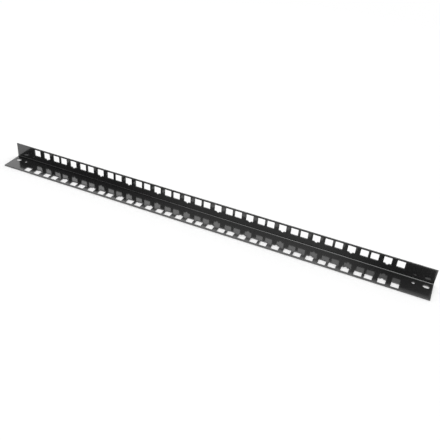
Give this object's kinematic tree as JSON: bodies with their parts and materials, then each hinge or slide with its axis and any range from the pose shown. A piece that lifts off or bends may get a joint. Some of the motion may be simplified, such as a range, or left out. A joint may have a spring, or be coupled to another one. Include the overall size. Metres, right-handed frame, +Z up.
{
  "type": "rack mounting rail",
  "caption": "Folded sheet steel angle rail with square cage-nut holes at rack pitch in both flanges and slotted end fixings.",
  "frame": {"origin": "middle of the rail's footprint, on the surface that its flat flange lies on", "axes": "+X along the rail, -Y to the free edge of the flat flange, +Z up along the upright flange"},
  "size_m": [0.5978, 0.032, 0.022],
  "materials": {
    "black_paint": "gloss black paint on sheet steel"
  },
  "bodies": {
    "root": {"mounting_rail": "black_paint"}
  },
  "joints": []
}
